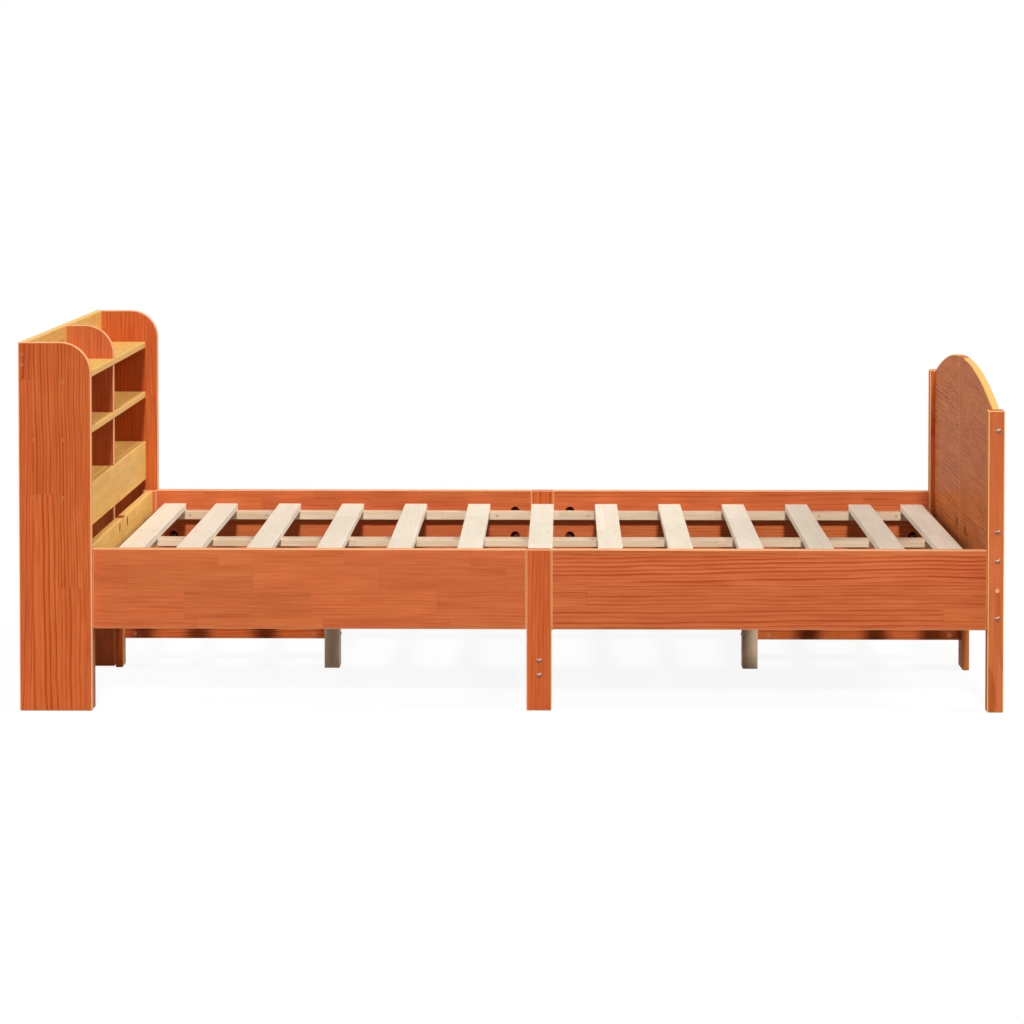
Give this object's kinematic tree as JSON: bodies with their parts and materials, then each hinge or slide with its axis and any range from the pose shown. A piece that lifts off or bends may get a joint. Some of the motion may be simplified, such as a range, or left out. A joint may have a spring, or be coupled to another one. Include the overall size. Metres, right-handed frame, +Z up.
{
  "type": "bed frame",
  "caption": "Stained pine knock-down bed frame with slatted base, arched footboard and a headboard bookcase with open shelves, for a 120 by 200 cm mattress",
  "frame": {"origin": "on the floor, at the middle of the footprint: half way between the back of the headboard case and the outer face of the foot posts, and half way between the two sides", "axes": "+X runs from the head end to the foot end, +Y from the long side that the picture looks at to the far long side, +Z up; left means the -Y side, right the +Y side"},
  "size_m": [2.225, 1.296, 0.837],
  "materials": {
    "stained_pine": "satin lacquer over an orange-brown stain",
    "natural_pine": "planed, unfinished",
    "zinc_steel": "bright zinc plated"
  },
  "bodies": {
    "root": {"rail_left_head": "stained_pine", "rail_left_foot": "stained_pine", "rail_right_head": "stained_pine", "rail_right_foot": "stained_pine", "mid_post_left": "stained_pine", "mid_post_right": "stained_pine", "foot_post_left": "stained_pine", "foot_post_right": "stained_pine", "foot_panel_left": "stained_pine", "foot_panel_right": "stained_pine", "foot_centre_leg": "stained_pine", "head_leg_left": "stained_pine", "head_leg_right": "stained_pine", "head_board_left": "stained_pine", "head_board_right": "stained_pine", "head_centre_leg": "stained_pine", "case_side_left": "stained_pine", "case_side_right": "stained_pine", "case_divider": "stained_pine", "case_back_left": "stained_pine", "case_back_right": "stained_pine", "top_shelf": "stained_pine", "middle_shelf": "stained_pine", "low_shelf": "stained_pine", "apron": "stained_pine", "stretcher_head": "stained_pine", "stretcher_foot": "stained_pine", "cross_stretcher": "stained_pine", "cleat_left_head": "natural_pine", "cleat_left_foot": "natural_pine", "cleat_right_head": "natural_pine", "cleat_right_foot": "natural_pine", "centre_beam_head": "natural_pine", "centre_beam_foot": "natural_pine", "support_leg_head": "natural_pine", "support_leg_foot": "natural_pine", "beam_post": "natural_pine", "slat_01": "natural_pine", "slat_02": "natural_pine", "slat_03": "natural_pine", "slat_04": "natural_pine", "slat_05": "natural_pine", "slat_06": "natural_pine", "slat_07": "natural_pine", "slat_08": "natural_pine", "slat_09": "natural_pine", "slat_10": "natural_pine", "slat_11": "natural_pine", "slat_12": "natural_pine", "slat_13": "natural_pine", "dowels": "natural_pine", "frame_bolts": "zinc_steel", "tie_sets": "zinc_steel", "barrel_nuts": "zinc_steel", "case_screws": "zinc_steel", "slat_screws": "zinc_steel"}
  },
  "joints": []
}
